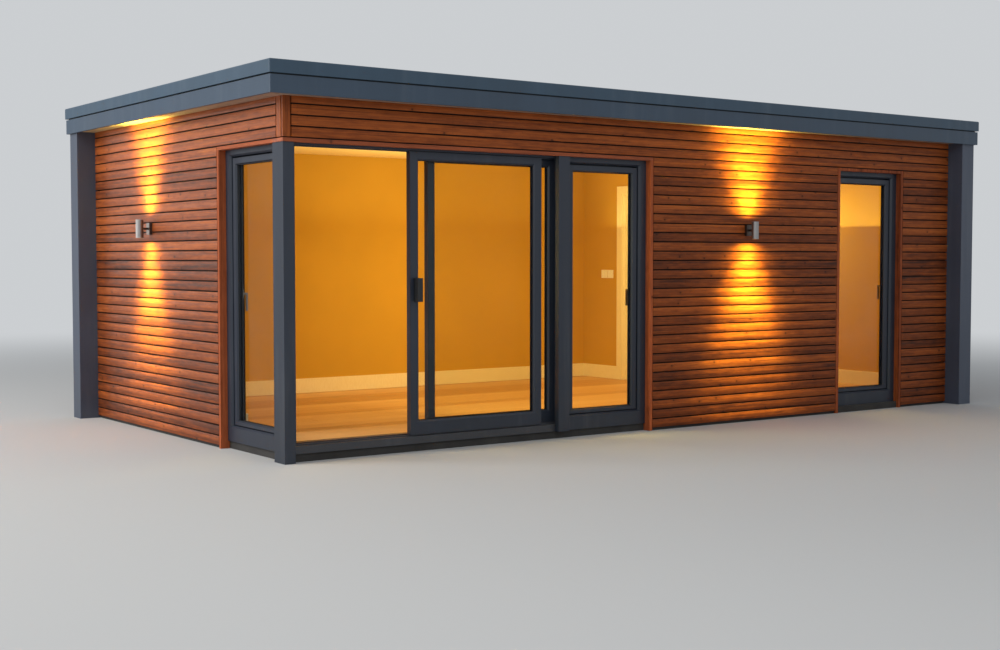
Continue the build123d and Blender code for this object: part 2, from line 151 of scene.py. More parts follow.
# The plain background, and the floor that fades into it between two distances.
BACKGROUND = (0.60, 0.62, 0.64)
STAGE_TINT = (0.56, 0.56, 0.555)
STAGE_REACH = 60.0
STAGE_FADE = 5.0, 17.0

# Studio lights: place, target, width and height, and power.
DAY = (1.0, 0.98, 0.95)
KEY = (-12.0, 1.5, 6.6), (-2.0, 0.0, 1.2), (6.0, 8.0), 900.0
FILL = (-6.5, -7.5, 5.2), (-2.5, -1.8, 1.2), (5.0, 3.5), 96.0
SHEEN = (-8.5, 12.0, 2.6), (-3.5, 0.5, 1.3), (6.0, 4.0), 275.0
SKY_TINT = (0.90, 0.95, 1.0)
SKY_STRENGTH = 0.50

# Lights of the rooms: power of each room, and its share downwards and upwards; where the lights
# are and how wide they are, as shares of the room's length; their heights and depths.
WARM = (1.0, 0.85, 0.34)
ROOM_POWER = 27.0
SMALL_ROOM_POWER = 16.0
DOWN_SHARE = 1.05
UP_SHARE = 1.4
ROOM_LIGHT_ALONG = 0.6
ROOM_LIGHT_WIDTH = 0.78
DOWN_HEIGHT, DOWN_DEPTH = 2.1, 0.8
UP_HEIGHT, UP_DEPTH = 1.7, 2.4

# The light along the big room: its place from the front left corner, size and power.
SIDE_PLACE = (1.7, 0.8, 1.5)
SIDE_SIZE = (1.2, 1.2)
SIDE_POWER = 34.0

# Camera of the photograph.
LENS = 51.34
SENSOR = 36.0
CAMERA_PLACE = (-7.902, -10.340, 1.387)
CAMERA_PITCH = -2.681
CAMERA_TURN = -35.70


class Signal:
    """A shader socket that takes part in plain arithmetic."""

    def __init__(self, finish, socket):
        self.finish = finish
        self.socket = socket

    def _math(self, operation, *numbers):
        values = dict(enumerate(numbers))
        return self.finish.node("ShaderNodeMath", {"operation": operation}, values)

    def __add__(self, other):
        return self._math("ADD", self, other)

    def __sub__(self, other):
        return self._math("SUBTRACT", self, other)

    def __mul__(self, other):
        return self._math("MULTIPLY", self, other)

    def __truediv__(self, other):
        return self._math("DIVIDE", self, other)

    def __gt__(self, other):
        return self._math("GREATER_THAN", self, other)

    def __lt__(self, other):
        return self._math("LESS_THAN", self, other)

    def floor(self):
        return self._math("FLOOR", self)


class Finish:
    """A material whose nodes are made one call at a time."""

    def __init__(self, name):
        self.material = bpy.data.materials.new(name)
        self.material.use_nodes = True
        self.tree = self.material.node_tree
        self.tree.nodes.clear()

    def node(self, kind, settings=None, values=None, output=0):
        """Adds a node: its settings first, then the values or links of its sockets."""
        node = self.tree.nodes.new(kind)
        for key, value in (settings or {}).items():
            if key == "stops":
                self._stops(node, value)
            else:
                setattr(node, key, value)
        for key, value in (values or {}).items():
            self._feed(node.inputs[key], value)
        return Signal(self, node.outputs[output])

    def also(self, signal, output):
        """Another output of the node that a signal comes from."""
        return Signal(self, signal.socket.node.outputs[output])

    def _stops(self, node, stops):
        elements = node.color_ramp.elements
        while len(elements) < len(stops):
            elements.new(0.5)
        for element, (place, tint) in zip(elements, stops):
            element.position = place
            element.color = (*colour(tint), 1.0)

    def _feed(self, socket, value):
        if isinstance(value, Signal):
            self.tree.links.new(value.socket, socket)
        elif socket.type == "RGBA":
            socket.default_value = (*value[:3], 1.0)
        else:
            socket.default_value = value

    def place(self):
        """Object coordinates."""
        return self.node("ShaderNodeTexCoord", output="Object")

    def axes(self, place):
        """The three coordinates of a place, each as a number."""
        x = self.node("ShaderNodeSeparateXYZ", values={0: place})
        return [x, self.also(x, 1), self.also(x, 2)]

    def point(self, x, y, z):
        return self.node("ShaderNodeCombineXYZ", values={0: x, 1: y, 2: z})

    def stretched(self, place, scale):
        return self.node("ShaderNodeMapping", values={"Vector": place, "Scale": scale})

    def noise(self, place, scale, detail, roughness, distortion=0.0):
        values = {"Vector": place, "Scale": scale, "Detail": detail, "Roughness": roughness}
        values["Distortion"] = distortion
        return self.node("ShaderNodeTexNoise", values=values)

    def random(self, number):
        """A number from 0 to 1 that depends on another number."""
        return self.node("ShaderNodeTexWhiteNoise", {"noise_dimensions": "1D"}, {"W": number})

    def ramp(self, number, *stops):
        """A colour along a row of screen colours."""
        return self.node("ShaderNodeValToRGB", {"stops": stops}, {"Fac": number})

    def span(self, number, low, high, to_low, to_high):
        """Maps a span of numbers to another one, held at its ends."""
        values = {0: number, 1: low, 2: high, 3: to_low, 4: to_high}
        return self.node("ShaderNodeMapRange", values=values)

    def mix(self, share, first, second):
        settings = {"data_type": "RGBA", "blend_type": "MIX"}
        return self.node("ShaderNodeMix", settings, {0: share, 6: first, 7: second}, output=2)

    def bump(self, height, strength, distance):
        values = {"Strength": strength, "Distance": distance, "Height": height}
        return self.node("ShaderNodeBump", values=values)

    def surface(self, values):
        """Ends the material in a Principled shader with these values on its sockets."""
        return self.done(self.node("ShaderNodeBsdfPrincipled", values=values))

    def done(self, shader):
        end = self.tree.nodes.new("ShaderNodeOutputMaterial")
        self._feed(end.inputs["Surface"], shader)
        return self.material


def colour(tint):
    """The working colour of a screen colour given from 0 to 255."""
    parts = [part / 255 for part in tint]
    return tuple(c / 12.92 if c <= 0.04045 else ((c + 0.055) / 1.055) ** 2.4 for c in parts)


def shade(tint, by):
    """A screen colour made lighter or darker."""
    return tuple(min(255, part * by) for part in tint)


def knots(finish, run, rise):
    """Small knots set well apart, and the swirl of grain round each."""
    place = finish.point(run * 0.8, rise, 0.0)
    values = {"Vector": place, "Scale": KNOTS_PER_METRE, "Randomness": 0.9}
    away = finish.node("ShaderNodeTexVoronoi", {"voronoi_dimensions": "2D"}, values)
    kept = finish.axes(finish.also(away, "Color"))[0] < KNOT_SHARE
    far = away / KNOTS_PER_METRE
    core = finish.span(far, *KNOT_CORE, 1.0, 0.0) * kept
    swirl = finish.span(far, *KNOT_SWIRL, 1.0, 0.0) * kept
    return core, swirl


def timber(name, along, across, tones, boards=False, specular=0.24):
    """Oiled softwood: grain along one axis, with its own figure and tone on each board, and painted
    shade along the edges of cladding boards.
    """
    pale, middle, dark = tones
    finish = Finish(name)
    axes = dict(zip("xyz", finish.axes(finish.place())))
    run = axes.pop(along)
    rise = axes.pop(across)
    depth = axes.popitem()[1]
    board = ((rise - TOP_JOINT) / BOARD_PITCH).floor() if boards else (rise * 2.3).floor()
    tone = finish.random(board + 0.37)
    shift = finish.random(board + 11.7) * 37.0
    core, swirl = knots(finish, run + shift, rise + shift)
    bent = rise + swirl * KNOT_BEND

    def figure(runs, crosses, moved, *character):
        """Noise drawn out along the grain and moved on from board to board."""
        place = finish.point(run * runs + shift * moved, bent * crosses, depth * crosses)
        return finish.noise(place, 1.0, *character)

    rings = finish.point(run * 0.8 + shift, bent * 24.0, depth * 24.0 + shift)
    broad = finish.noise(rings, 1.4, 2.0, 0.5, 0.5)
    lines = figure(1.3, 120.0, 1.0, 3.0, 0.6, 0.8)
    streak = figure(0.45, 60.0, 1.7, 2.0, 0.5)
    fibre = figure(7.0, 560.0, 0.0, 2.0, 0.6)
    mottle = figure(9.0, 42.0, 0.0, 3.0, 0.65)
    patch = figure(2.2, 9.0, 1.0, 3.0, 0.6, 0.6)
    coarse = broad * 0.30 + lines * 0.32 + mottle * 0.24
    level = coarse + fibre * 0.18 + patch * 0.16 + tone * 0.20 - 0.21
    wood = finish.ramp(level, (0.32, dark), (0.50, middle), (0.69, pale))
    drawn = finish.mix(finish.span(streak, 0.60, 0.76, 0.0, 0.45), wood, colour(dark))
    spotted = finish.mix(core * 0.62 + swirl * 0.14, drawn, colour(shade(dark, 0.6)))
    # Painted shade: each cladding board darkens towards its edges, where the shade of the joints falls.
    if boards:
        within = (rise - TOP_JOINT) / BOARD_PITCH - board - 0.5
        starts, ends = BOARD_EDGE_PAINTED_SHADE
        edge = finish.span(within * within, starts**2, ends**2, 0.0, 0.75)
        spotted = finish.mix(edge, spotted, colour(shade(dark, 0.35)))
    rough = finish.span(lines, 0.3, 0.7, 0.48, 0.66)
    normal = finish.bump(lines * 0.6 + fibre * 0.4 - streak * 0.2, 0.35, 0.0014)
    values = {"Base Color": spotted, "Roughness": rough, "Normal": normal}
    values["Specular IOR Level"] = specular
    return finish.surface(values)


def boards_along(axis):
    """The oiled boards of the cladding that run along one axis."""
    return timber("timber_boards_" + axis, axis, "z", OILED, boards=True)


def coated(name, tint, rough=0.42):
    """Powder-coated metal: a fine orange-peel skin, faint dust and slightly uneven gloss."""
    finish = Finish(name)
    place = finish.place()
    cloud = finish.noise(place, 1.9, 4.0, 0.6)
    speck = finish.noise(place, 900.0, 1.0, 0.5)
    streak = finish.noise(finish.stretched(place, (9.0, 9.0, 0.8)), 1.0, 3.0, 0.6)
    stops = (0.32, shade(tint, 0.93)), (0.52, tint), (0.78, shade(tint, 1.10))
    base = finish.ramp(cloud * 0.6 + streak * 0.4, *stops)
    dusty = finish.mix(finish.span(streak, 0.55, 0.80, 0.0, DUST_SHARE), base, colour(DUST))
    gloss = finish.span(cloud, 0.3, 0.7, rough - 0.06, rough + 0.09)
    normal = finish.bump(speck, 0.10, 0.0004)
    return finish.surface({"Base Color": dusty, "Roughness": gloss, "Normal": normal})


def membrane():
    """Roof sheet: dark rubber with a fine grain and dust that has settled in broad patches."""
    finish = Finish("roof_sheet")
    place = finish.place()
    dust = finish.noise(place, 1.1, 5.0, 0.62)
    grain = finish.noise(place, 420.0, 2.0, 0.5)
    base = finish.ramp(dust, (0.35, (54, 56, 58)), (0.55, (68, 70, 71)), (0.75, (92, 92, 89)))
    rough = finish.span(dust, 0.3, 0.7, 0.70, 0.88)
    normal = finish.bump(grain, 0.35, 0.0006)
    return finish.surface({"Base Color": base, "Roughness": rough, "Normal": normal})


def room_paint(finish, place, tint):
    """Wall paint with the faint unevenness and nap of a rolled wall."""
    patch = finish.noise(place, 0.9, 3.0, 0.5)
    nap = finish.noise(place, 260.0, 2.0, 0.6)
    return finish.ramp(patch, (0.3, shade(tint, 0.97)), (0.7, shade(tint, 1.03))), nap


def wall_core():
    """Outside a black weather sheet behind the boards; inside the rooms' painted plaster."""
    finish = Finish("wall_faces")
    place = finish.place()
    x, y = finish.axes(place)[:2]
    low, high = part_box("floor_boards")
    edge = PAINT_PAST_FLOOR
    inside = (x > low.x - edge) * (x < high.x + edge) * (y > low.y - edge) * (y < high.y + edge)
    paint, nap = room_paint(finish, place, WALL_PAINT_WARM_LIT)
    sheet = finish.noise(place, 34.0, 3.0, 0.6)
    dark = finish.ramp(sheet, (0.3, (13, 9, 8)), (0.7, (22, 16, 13)))
    base = finish.mix(inside, dark, paint)
    rough = finish.span(nap, 0.3, 0.7, 0.80, 0.92)
    normal = finish.bump(nap, 0.15, 0.0006)
    return finish.surface({"Base Color": base, "Roughness": rough, "Normal": normal})


def painted_plaster(name, tint):
    """The same kind of paint on the partition and the ceiling."""
    finish = Finish(name)
    paint, nap = room_paint(finish, finish.place(), tint)
    rough = finish.span(nap, 0.3, 0.7, 0.80, 0.92)
    normal = finish.bump(nap, 0.15, 0.0006)
    return finish.surface({"Base Color": paint, "Roughness": rough, "Normal": normal})


def satin_joinery():
    """Cream eggshell paint on skirting and door casing, with faint brush marks."""
    finish = Finish("joinery_paint")
    brush = finish.noise(finish.stretched(finish.place(), (40.0, 40.0, 8.0)), 3.0, 2.0, 0.5)
    base = finish.ramp(brush, (0.3, (242, 226, 184)), (0.7, (248, 234, 198)))
    rough = finish.span(brush, 0.3, 0.7, 0.34, 0.46)
    normal = finish.bump(brush, 0.08, 0.0004)
    return finish.surface({"Base Color": base, "Roughness": rough, "Normal": normal})


def ground_base():
    """The edge of the floor base: cement grey with pits and damp patches."""
    finish = Finish("base_edge")
    place = finish.place()
    patch = finish.noise(place, 3.0, 5.0, 0.6)
    pits = finish.noise(place, 160.0, 3.0, 0.6)
    base = finish.ramp(patch, (0.3, (44, 42, 41)), (0.55, (60, 58, 56)), (0.8, (80, 77, 73)))
    rough = finish.span(patch, 0.3, 0.7, 0.82, 0.94)
    normal = finish.bump(pits, 0.5, 0.002)
    return finish.surface({"Base Color": base, "Roughness": rough, "Normal": normal})


def clear_glass():
    """Glass: what is behind shows through, with the sheen that grows towards a low angle."""
    finish = Finish("window_glass_finish")
    sheen = finish.node("ShaderNodeFresnel", values={"IOR": 1.45})
    smear = finish.noise(finish.place(), 5.0, 3.0, 0.6)
    through = finish.node("ShaderNodeBsdfTransparent", values={"Color": (0.93, 0.93, 0.90)})
    rough = finish.span(smear, 0.3, 0.7, 0.012, 0.04)
    gloss = finish.node("ShaderNodeBsdfGlossy", values={"Color": (0.90, 0.95, 1.0), "Roughness": rough})
    share = sheen * finish.span(smear, 0.3, 0.7, 0.035, 0.06)
    return finish.done(finish.node("ShaderNodeMixShader", values={0: share, 1: through, 2: gloss}))


def plates_painted_dark(finish, place, base, plates):
    """Painted shade on the lamps' plates, a darker tone for the dark surroundings they reflect: past a
    level on X at the left, on Y at the front.
    """
    x, y = finish.axes(place)[:2]
    for axis, level in plates:
        behind = (x if axis == "x" else y) > level
        beside = (x < 0.0) if axis == "x" else (x > 0.0)
        base = finish.mix(behind * beside, base, colour(LAMP_PLATE_PAINTED_SHADE))
    return base


def brushed(name, tint, scratches, rough, plates=()):
    """Brushed steel with its scratches along one axis, and painted shade on the plates behind the
    lamps.
    """
    finish = Finish(name)
    place = finish.place()
    lines = finish.noise(finish.stretched(place, scratches), 1.0, 3.0, 0.6)
    base = finish.ramp(lines, (0.25, shade(tint, 0.86)), (0.75, tint))
    if plates:
        base = plates_painted_dark(finish, place, base, plates)
    gloss = finish.span(lines, 0.3, 0.7, rough - 0.06, rough + 0.10)
    normal = finish.bump(lines, 0.10, 0.0002)
    return finish.surface({"Base Color": base, "Roughness": gloss, "Metallic": 1.0, "Normal": normal})


def moulded(name, tint, rough):
    """Moulded plastic or rubber with a faint grain."""
    finish = Finish(name)
    place = finish.place()
    grain = finish.noise(place, 700.0, 2.0, 0.5)
    patch = finish.noise(place, 12.0, 2.0, 0.5)
    base = finish.ramp(patch, (0.3, shade(tint, 0.95)), (0.7, tint))
    gloss = finish.span(patch, 0.3, 0.7, rough - 0.05, rough + 0.05)
    normal = finish.bump(grain, 0.12, 0.0003)
    return finish.surface({"Base Color": base, "Roughness": gloss, "Normal": normal})


def floor_timber():
    """Pale lacquered oak, one tone for each plank's width."""
    finish = Finish("floor_timber")
    x, y, z = finish.axes(finish.place())
    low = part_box("floor_boards")[0]
    tone = finish.random(((y - low.y) / PLANK_WIDTH).floor() + 0.5)
    shift = tone * 31.0
    grain = finish.noise(finish.point(x * 1.3 + shift, y * 42.0 + shift, z), 1.0, 4.0, 0.6, 0.7)
    fine = finish.noise(finish.point(x * 8.0, y * 420.0, z), 1.0, 2.0, 0.6)
    level = grain * 0.6 + fine * 0.2 + tone * 0.3 - 0.05
    base = finish.ramp(level, (0.25, (162, 112, 64)), (0.5, (198, 150, 96)), (0.8, (220, 178, 124)))
    rough = finish.span(grain, 0.3, 0.7, 0.36, 0.5)
    normal = finish.bump(fine, 0.15, 0.0004)
    return finish.surface({"Base Color": base, "Roughness": rough, "Normal": normal})


def lamp_glow():
    """The lit lens of a lamp, a little uneven."""
    finish = Finish("lamp_glow")
    patch = finish.noise(finish.place(), 90.0, 1.0, 0.5)
    glow = finish.ramp(patch, (0.3, (255, 214, 130)), (0.7, (255, 226, 150)))
    values = {"Base Color": glow, "Roughness": 0.4, "Emission Color": glow}
    values["Emission Strength"] = LENS_STRENGTH
    return finish.surface(values)


class Shape:
    """A Geometry Nodes tree with named inputs, made one node at a time."""

    def __init__(self, name, inputs):
        self.tree = bpy.data.node_groups.new(name, "GeometryNodeTree")
        sockets = self.tree.interface
        sockets.new_socket("Geometry", in_out="INPUT", socket_type="NodeSocketGeometry")
        for label, kind in inputs.items():
            sockets.new_socket(label, in_out="INPUT", socket_type="NodeSocket" + kind)
        sockets.new_socket("Geometry", in_out="OUTPUT", socket_type="NodeSocketGeometry")
        self.enter = self.tree.nodes.new("NodeGroupInput")
        self.leave = self.tree.nodes.new("NodeGroupOutput")

    def given(self, label):
        return self.enter.outputs[label]

    def node(self, kind, settings=None, values=None, output=0):
        node = self.tree.nodes.new(kind)
        for key, value in (settings or {}).items():
            setattr(node, key, value)
        for key, value in (values or {}).items():
            if isinstance(value, bpy.types.NodeSocket):
                self.tree.links.new(value, node.inputs[key])
            else:
                node.inputs[key].default_value = value
        return node.outputs[output]

    def close(self, geometry):
        """Puts the shape in its place, realizes the instances and sets the material."""
        values = {"Translation": self.given("Start"), "Rotation": self.given("Turn")}
        placed = self.node("GeometryNodeTransform", values={"Geometry": geometry, **values})
        real = self.node("GeometryNodeRealizeInstances", values={0: placed})
        values = {"Geometry": real, "Material": self.given("Material")}
        self.tree.links.new(self.node("GeometryNodeSetMaterial", values=values), self.leave.inputs[0])
        return self.tree


def grown(tree, **values):
    """The plain mesh that a tree gives for these inputs."""
    holder = bpy.data.objects.new("holder", bpy.data.meshes.new("holder"))
    bpy.context.scene.collection.objects.link(holder)
    modifier = holder.modifiers.new("shape", "NODES")
    modifier.node_group = tree
    for item in tree.interface.items_tree:
        label = item.name.lower().replace(" ", "_")
        if item.in_out == "INPUT" and label in values:
            modifier[item.identifier] = values[label]
    graph = bpy.context.evaluated_depsgraph_get()
    mesh = bpy.data.meshes.new_from_object(holder.evaluated_get(graph))
    bpy.data.objects.remove(holder)
    mesh.materials.clear()
    mesh.materials.append(values["material"])
    for face in mesh.polygons:
        face.material_index = 0
    return mesh


def board_tree():
    """Boards along X, one above another, each with rounded edges and a hair's breadth off line."""
    shape = Shape(
        "board_run",
        {
            "Length": "Float",
            "Height": "Float",
            "Thickness": "Float",
            "Pitch": "Float",
            "Count": "Int",
            "Edge": "Float",
            "Stray": "Float",
            "Seed": "Int",
            "Start": "Vector",
            "Turn": "Vector",
            "Material": "Material",
        },
    )
    profile = shape.node(
        "GeometryNodeCurvePrimitiveQuadrilateral",
        {"mode": "RECTANGLE"},
        {"Width": shape.given("Thickness"), "Height": shape.given("Height")},
    )
    eased = shape.node(
        "GeometryNodeFilletCurve",
        {"mode": "POLY"},
        {"Curve": profile, "Count": 2, "Radius": shape.given("Edge"), "Limit Radius": True},
    )
    reach = shape.node("ShaderNodeCombineXYZ", values={0: shape.given("Length")})
    path = shape.node("GeometryNodeCurvePrimitiveLine", values={"End": reach})
    swept = {"Curve": path, "Profile Curve": eased, "Fill Caps": True}
    board = shape.node("GeometryNodeCurveToMesh", values=swept)
    step = shape.node("ShaderNodeCombineXYZ", values={2: shape.given("Pitch")})
    stacked = {"Count": shape.given("Count"), "Offset": step}
    rows = shape.node("GeometryNodeMeshLine", {"mode": "OFFSET"}, stacked)
    stray = shape.node(
        "FunctionNodeRandomValue",
        {"data_type": "FLOAT"},
        {"Min": 0.0, "Max": shape.given("Stray"), "Seed": shape.given("Seed")},
        output=1,
    )
    off_line = shape.node("ShaderNodeCombineXYZ", values={1: stray})
    strayed = shape.node("GeometryNodeSetPosition", values={"Geometry": rows, "Offset": off_line})
    placed = {"Points": strayed, "Instance": board}
    return shape.close(shape.node("GeometryNodeInstanceOnPoints", values=placed))


def nail_tree():
    """Round heads in rows and columns on a wall that runs along X, each a little off its place."""
    shape = Shape(
        "nail_heads",
        {
            "Columns": "Int",
            "Rows": "Int",
            "Width": "Float",
            "Height": "Float",
            "Radius": "Float",
            "Length": "Float",
            "Stray": "Float",
            "Seed": "Int",
            "Start": "Vector",
            "Turn": "Vector",
            "Material": "Material",
        },
    )
    head = shape.node(
        "GeometryNodeMeshCylinder",
        {"fill_type": "NGON"},
        {"Vertices": NAIL_SIDES, "Radius": shape.given("Radius"), "Depth": shape.given("Length")},
    )
    grid = shape.node(
        "GeometryNodeMeshGrid",
        values={
            "Size X": shape.given("Width"),
            "Size Y": shape.given("Height"),
            "Vertices X": shape.given("Columns"),
            "Vertices Y": shape.given("Rows"),
        },
    )
    scale = {"operation": "SCALE"}
    flat = {0: (1.0, 1.0, 0.0), "Scale": shape.given("Stray")}
    away = shape.node("ShaderNodeVectorMath", scale, flat)
    back = shape.node("ShaderNodeVectorMath", scale, {0: away, "Scale": -1.0})
    stray = shape.node(
        "FunctionNodeRandomValue",
        {"data_type": "FLOAT_VECTOR"},
        {"Min": back, "Max": away, "Seed": shape.given("Seed")},
    )
    strayed = shape.node("GeometryNodeSetPosition", values={"Geometry": grid, "Offset": stray})
    heads = shape.node("GeometryNodeInstanceOnPoints", values={"Points": strayed, "Instance": head})
    tipped = {"Geometry": heads, "Rotation": (math.pi / 2, 0.0, 0.0)}
    return shape.close(shape.node("GeometryNodeTransform", values=tipped))


def piece(name, mesh, body, material=None):
    """An object at the origin that rides on a body and takes a finish."""
    thing = bpy.data.objects.new(name, mesh)
    bpy.context.scene.collection.objects.link(thing)
    if material is not None:
        mesh.materials.clear()
        mesh.materials.append(material)
    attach(thing, body)
    return thing


def joined(name, meshes):
    """One mesh out of several that share a material."""
    whole = bmesh.new()
    for mesh in meshes:
        whole.from_mesh(mesh)
    result = bpy.data.meshes.new(name)
    whole.to_mesh(result)
    whole.free()
    for material in meshes[0].materials:
        result.materials.append(material)
    for mesh in meshes:
        bpy.data.meshes.remove(mesh)
    return result


def add_block(form, low, high, edge=0.0, segments=2):
    """A box between two corners, with its edges rounded."""
    corners = bmesh.ops.create_cube(form, size=1.0)["verts"]
    size = [h - l for l, h in zip(low, high)]
    middle = [(h + l) / 2 for l, h in zip(low, high)]
    bmesh.ops.scale(form, vec=size, verts=corners)
    bmesh.ops.translate(form, vec=middle, verts=corners)
    if edge > 0:
        edges = list({e for v in corners for e in v.link_edges})
        bmesh.ops.bevel(
            form,
            geom=edges,
            offset=edge,
            segments=segments,
            profile=0.5,
            affect="EDGES",
            clamp_overlap=True,
        )


def add_ring(form, low, high, width, normal):
    """A flat upright frame of four bars whose face looks along one axis."""
    across = 1 - normal
    inner_low = low[across] + width
    inner_high = high[across] - width
    for z0, z1, c0, c1 in (
        (low[2], low[2] + width, low[across], high[across]),
        (high[2] - width, high[2], low[across], high[across]),
        (low[2] + width, high[2] - width, low[across], inner_low),
        (low[2] + width, high[2] - width, inner_high, high[across]),
    ):
        a = [0.0, 0.0, z0]
        b = [0.0, 0.0, z1]
        a[across], b[across] = c0, c1
        a[normal], b[normal] = low[normal], high[normal]
        add_block(form, a, b)


def made(name, form):
    """Turns a finished form into a mesh with its faces outwards."""
    bmesh.ops.recalc_face_normals(form, faces=form.faces)
    mesh = bpy.data.meshes.new(name)
    form.to_mesh(mesh)
    form.free()
    return mesh


def islands(node):
    """The lowest and highest corner of each separate solid of a CAD node."""
    copy = bmesh.new()
    copy.from_mesh(nodes[node].data)
    bmesh.ops.remove_doubles(copy, verts=copy.verts, dist=SAME)
    left = set(copy.verts)
    boxes = []
    while left:
        group = {left.pop()}
        edge = list(group)
        while edge:
            vertex = edge.pop()
            for link in vertex.link_edges:
                other = link.other_vert(vertex)
                if other not in group:
                    group.add(other)
                    edge.append(other)
        left -= group
        points = [v.co.copy() for v in group]
        low = Vector([min(p[i] for p in points) for i in range(3)])
        high = Vector([max(p[i] for p in points) for i in range(3)])
        boxes.append((low, high))
    copy.free()
    return sorted(boxes, key=lambda box: (round(box[0].x, 3), round(box[0].y, 3)))


def board_rows(low, high):
    """The boards between two levels, each as the level where it starts and its height."""
    rows = []
    half = (BOARD_PITCH - BOARD_HEIGHT) / 2
    level = TOP_JOINT - math.ceil((TOP_JOINT - low) / BOARD_PITCH) * BOARD_PITCH
    while level < high:
        start = max(low, level + half)
        end = min(high, level + BOARD_PITCH - half)
        if end - start > THINNEST_BOARD:
            rows.append((start, end - start))
        level += BOARD_PITCH
    return rows


def board_panel(tree, material, corner, length, turn, low, high, seed):
    """Meshes of one rectangle of boards, whose runs of equal boards share one tree call."""
    meshes = []
    rows = board_rows(low, high)
    while rows:
        height = rows[0][1]
        same = [row for row in rows if abs(row[1] - height) < SAME]
        rows = [row for row in rows if abs(row[1] - height) >= SAME]
        mesh = grown(
            tree,
            length=length,
            height=height,
            thickness=BOARD_THICKNESS,
            pitch=BOARD_PITCH,
            count=len(same),
            edge=BOARD_ROUND,
            stray=BOARD_STRAY,
            seed=seed,
            start=(*corner, same[0][0] + height / 2),
            turn=(0.0, 0.0, turn),
            material=material,
        )
        meshes.append(mesh)
    return meshes


def nail_panel(tree, material, corner, length, turn, low, high, seed):
    """Two rows of nail heads on each board of full height in one rectangle."""
    whole = [start for start, height in board_rows(low, high) if height > BOARD_HEIGHT - MM]
    columns = max(2, round((length - 2 * NAIL_FROM_END) / NAIL_SPACING) + 1)
    middle = (whole[0] + whole[-1] + BOARD_HEIGHT) / 2
    outward = Vector((math.sin(turn), -math.cos(turn), 0.0))
    along = Vector((math.cos(turn), math.sin(turn), 0.0))
    face = BOARD_THICKNESS / 2 + NAIL_PROUD - NAIL_LENGTH / 2
    base = Vector((*corner, 0.0)) + along * (length / 2) + outward * face
    return [
        grown(
            tree,
            columns=columns,
            rows=len(whole),
            width=length - 2 * NAIL_FROM_END,
            height=whole[-1] - whole[0],
            radius=NAIL_RADIUS,
            length=NAIL_LENGTH,
            stray=NAIL_STRAY,
            seed=seed + offset,
            start=(base.x, base.y, middle + way * NAIL_SPREAD / 2),
            turn=(0.0, 0.0, turn),
            material=material,
        )
        for offset, way in ((100, -1), (200, 1))
    ]


def board_runs():
    """For each side, its runs of boards: start, end, lowest level and highest level of each."""
    linings = islands("jamb_linings")
    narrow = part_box("narrow_window_lining")
    over = OVER_OPENINGS
    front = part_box("front_cladding")
    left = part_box("left_cladding")
    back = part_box("back_cladding")
    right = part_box("right_cladding")
    after_door = linings[-1][1].x + BOARD_END_GAP
    before_narrow = narrow[0].x - BOARD_END_GAP
    after_narrow = narrow[1].x + BOARD_END_GAP
    after_side_window = linings[0][1].y + BOARD_END_GAP
    return {
        "front": [
            (front[0].x, front[1].x, over, front[1].z),
            (after_door, before_narrow, front[0].z, over),
            (after_narrow, front[1].x, front[0].z, over),
        ],
        "left": [
            (left[0].y, left[1].y, over, left[1].z),
            (after_side_window, left[1].y, left[0].z, over),
        ],
        "back": [(back[0].x, back[1].x, back[0].z, back[1].z)],
        "right": [(right[0].y, right[1].y, right[0].z, right[1].z)],
    }


def run_corner(side, start, end):
    """Where a run of boards begins, seen from outside, in the middle of the boards' thickness."""
    low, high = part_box(side + "_cladding")
    half = BOARD_THICKNESS / 2
    return {
        "front": (start, low.y + half),
        "left": (low.x + half, end),
        "back": (end, high.y - half),
        "right": (high.x - half, start),
    }[side]


def cladding():
    """Boards on all four sides, cut round the openings as the sheets behind them are."""
    boards = board_tree()
    heads = nail_tree()
    along_x = boards_along("x")
    along_y = boards_along("y")
    nail_steel = brushed("nail_steel", (96, 74, 60), (500.0, 500.0, 500.0), 0.45)
    turns = {"front": 0.0, "left": -math.pi / 2, "back": math.pi, "right": math.pi / 2}
    for number, (side, runs) in enumerate(board_runs().items()):
        material = along_x if side in ("front", "back") else along_y
        turn = turns[side]
        meshes = []
        nails = []
        for seed, (start, end, bottom, top) in enumerate(runs, number * 10):
            corner = run_corner(side, start, end)
            length = end - start
            meshes += board_panel(boards, material, corner, length, turn, bottom, top, seed)
            nails += nail_panel(heads, nail_steel, corner, length, turn, bottom, top, seed)
        name = side + "_boards"
        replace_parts(piece(name, joined(name, meshes), "pod"), side + "_cladding")
        name = side + "_nails"
        piece(name, joined(name, nails), "pod")


def seals():
    """Black rubber round both faces of each pane, in the corner between glass and sash."""
    rubber = moulded("seal_rubber", (22, 22, 23), 0.62)
    for name, body, panes in (
        ("pane_seals", "pod", islands("window_glass") + islands("fixed_glass")),
        ("leaf_seals", "leaf", islands("sliding_glass")),
    ):
        form = bmesh.new()
        for low, high in panes:
            normal = 0 if high.x - low.x < high.y - low.y else 1
            across = 1 - normal
            for face, way in ((low[normal], -1), (high[normal], 1)):
                a = [0.0, 0.0, low[2] + GLASS_BITE]
                b = [0.0, 0.0, high[2] - GLASS_BITE]
                a[across] = low[across] + GLASS_BITE
                b[across] = high[across] - GLASS_BITE
                a[normal] = min(face, face + way * SEAL_PROUD)
                b[normal] = max(face, face + way * SEAL_PROUD)
                add_ring(form, a, b, SEAL_WIDTH, normal)
        piece(name, made(name, form), body, rubber)


def lamp_axes():
    """For each wall lamp, the place of its tube's axis and the tube's two ends."""
    places = []
    for low, high in islands("wall_lamps"):
        front = high.x - low.x < high.y - low.y
        x = (low.x + high.x) / 2 if front else low.x + LAMP_TUBE
        y = low.y + LAMP_TUBE if front else (low.y + high.y) / 2
        places.append((x, y, low.z, high.z))
    return places


